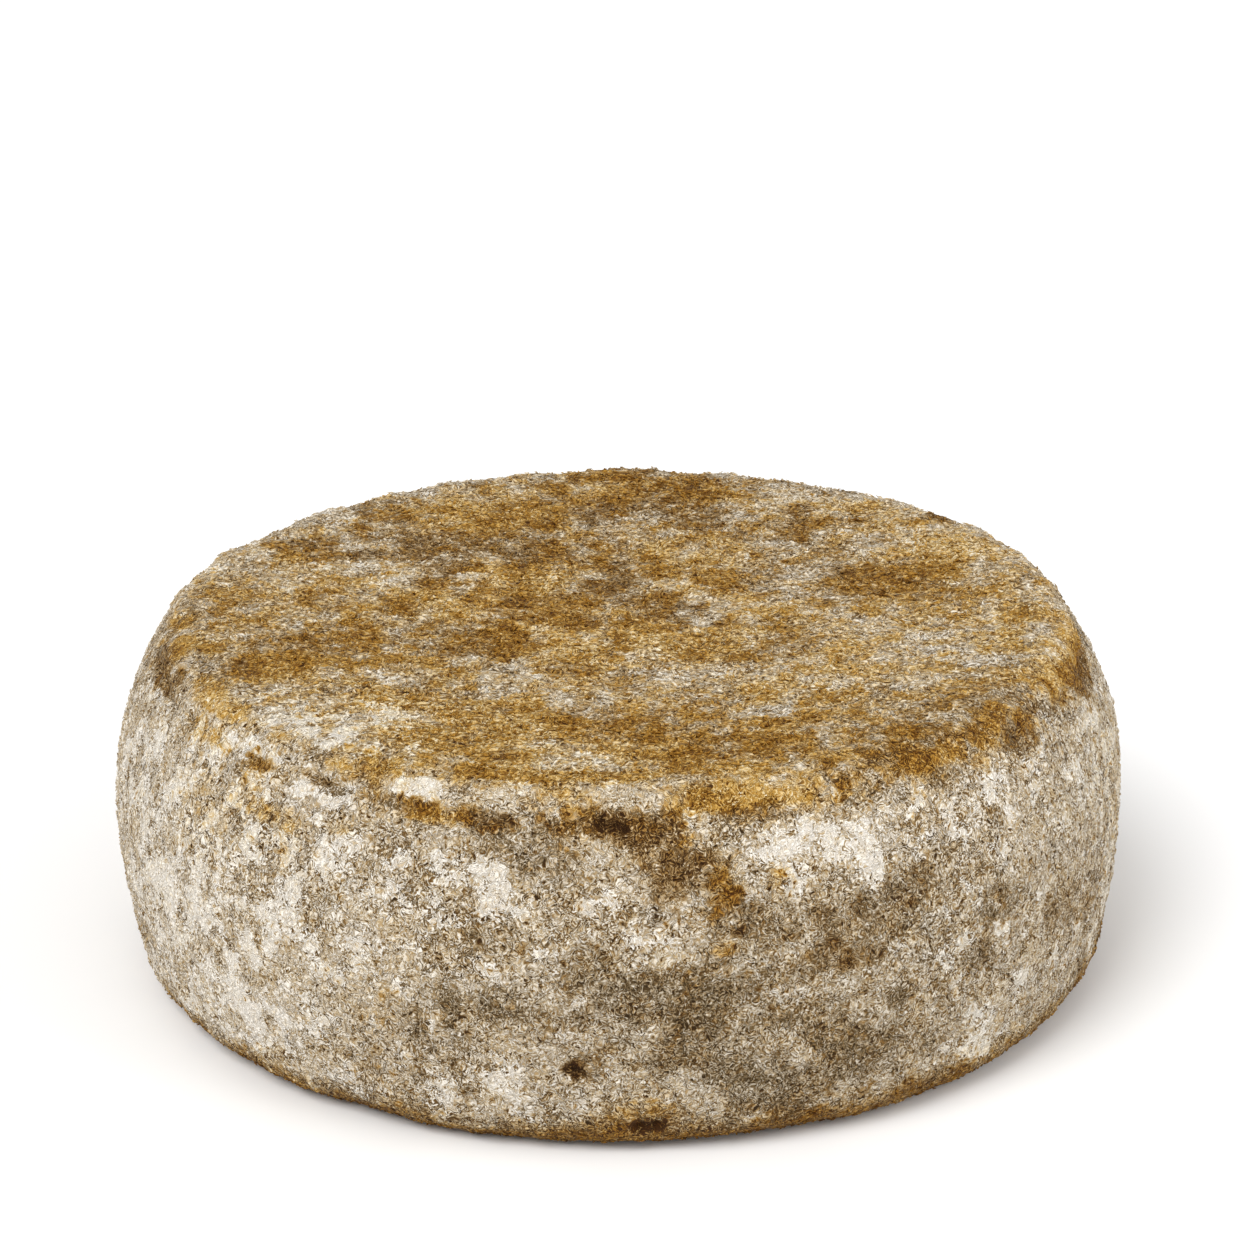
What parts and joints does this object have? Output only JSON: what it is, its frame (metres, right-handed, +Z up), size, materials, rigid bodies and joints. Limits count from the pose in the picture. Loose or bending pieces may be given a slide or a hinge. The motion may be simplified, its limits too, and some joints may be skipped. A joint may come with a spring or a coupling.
{
  "type": "cheese wheel",
  "caption": "Whole round wheel of semi-hard cheese with a bulging side, a flat base to stand on and a dry grey-brown natural mould rind.",
  "frame": {"origin": "middle of the wheel's outline, on the flat base it rests on", "axes": "+Z up through the wheel's thickness, -Y towards the side that faces the viewer, +X to the viewer's right"},
  "size_m": [0.1904, 0.1896, 0.0674],
  "materials": {
    "rind": null
  },
  "bodies": {
    "root": {"cheese_wheel": "rind"}
  },
  "joints": []
}
